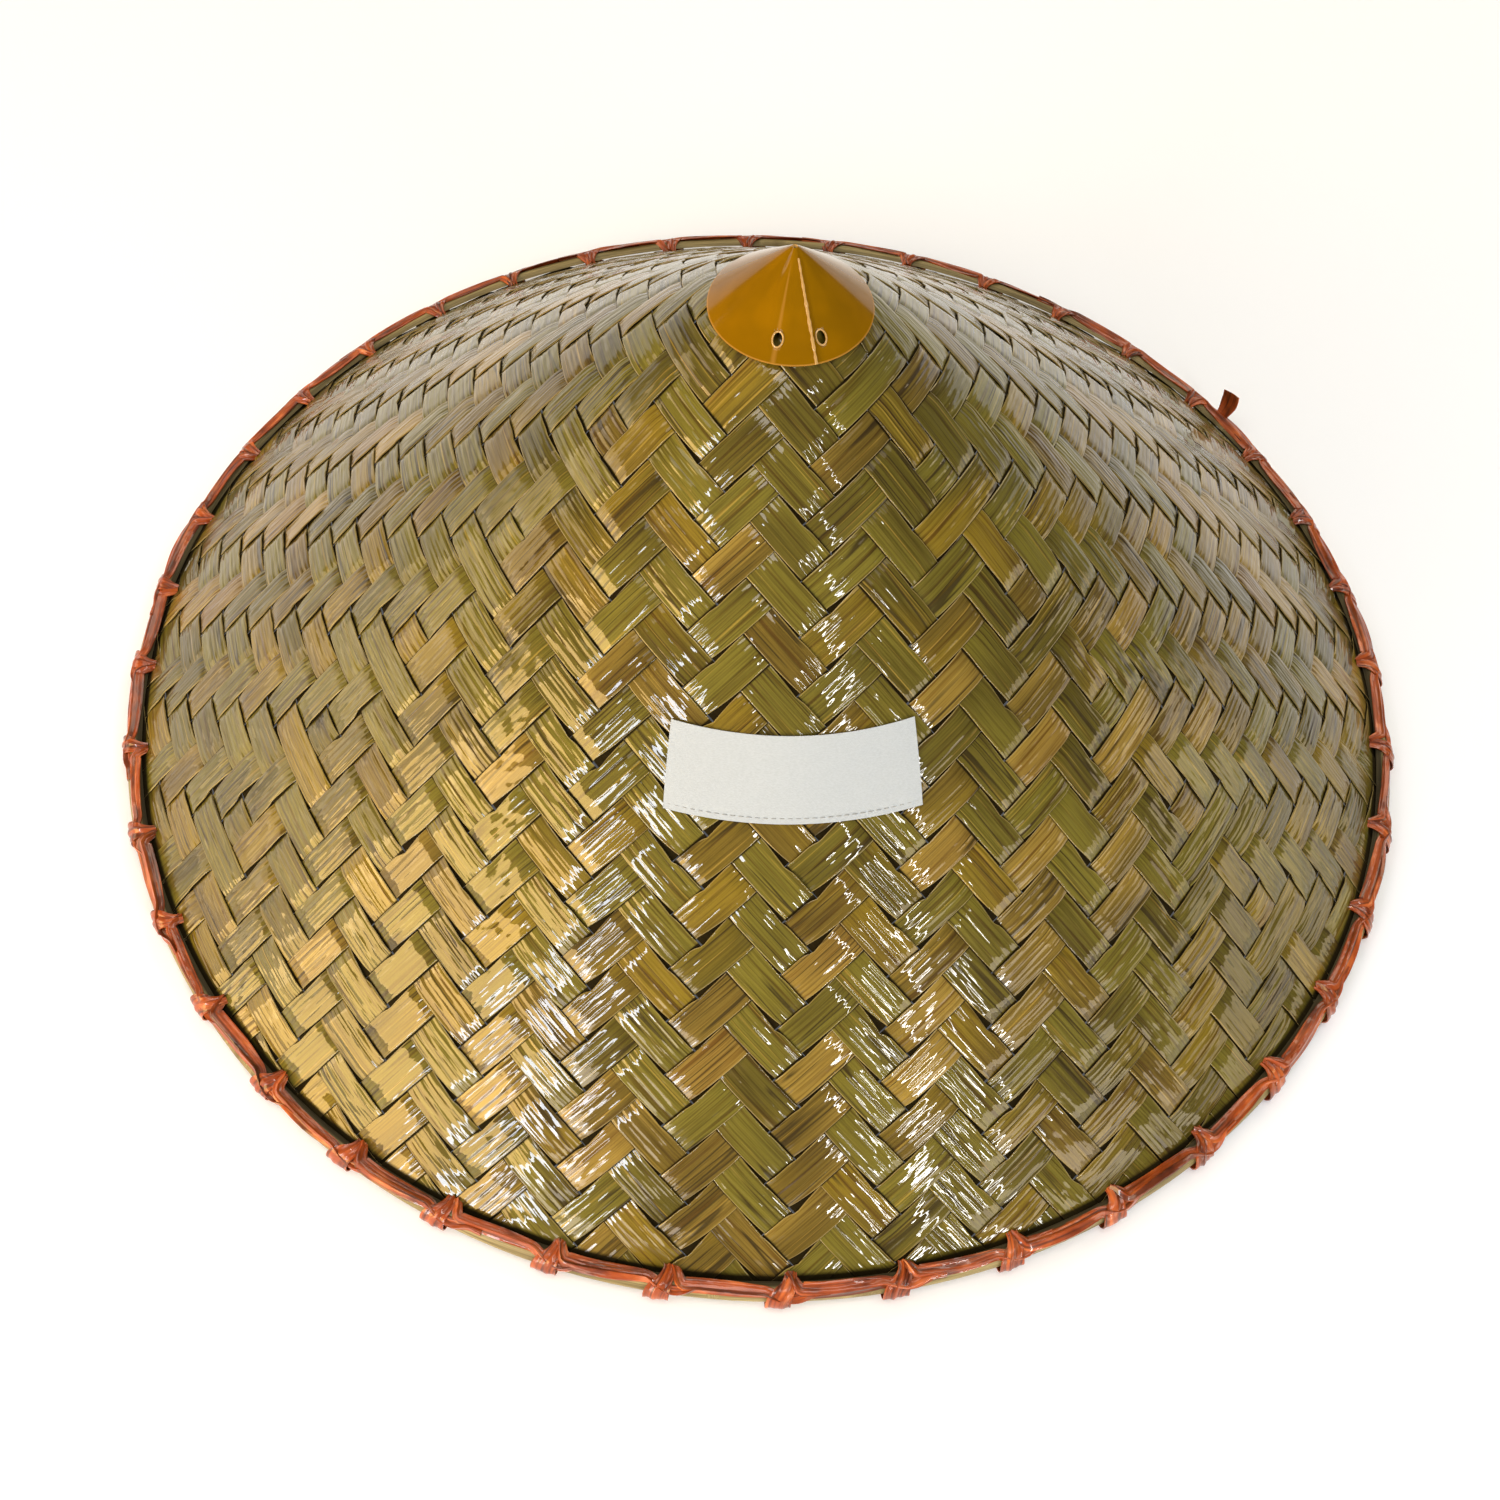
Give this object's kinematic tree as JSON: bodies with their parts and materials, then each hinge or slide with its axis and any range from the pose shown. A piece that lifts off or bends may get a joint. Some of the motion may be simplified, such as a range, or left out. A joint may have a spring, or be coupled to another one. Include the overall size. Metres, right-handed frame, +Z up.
{
  "type": "conical bamboo hat",
  "caption": "Conical hat woven from bamboo splints, with a half-round hoop on each side of its edge, a strap laced round the rim, a plastic cone on the tip and a blank label.",
  "frame": {"origin": "middle of the rim, on the surface that the hat rests on", "axes": "+Z up along the cone's axis to the tip, -Y towards the front with the label, +X to the right of someone who faces the label"},
  "size_m": [0.429, 0.429, 0.1936],
  "materials": {
    "bamboo_splint": "lacquered bamboo splints, khaki to olive green and tan, glossy",
    "hoop_bamboo": "split bamboo, pale straw, satin",
    "red_strap": "plastic strap, copper red, lengthwise fluting, slight gloss",
    "ochre_plastic": "bent plastic sheet, ochre yellow, glossy",
    "label_cloth": "fine woven cloth, white, matt"
  },
  "bodies": {
    "root": {"woven_cone": "bamboo_splint", "upper_hoop": "hoop_bamboo", "lower_hoop": "hoop_bamboo", "rim_lacing": "red_strap", "tip_cap": "ochre_plastic", "front_label": "label_cloth"}
  },
  "joints": []
}
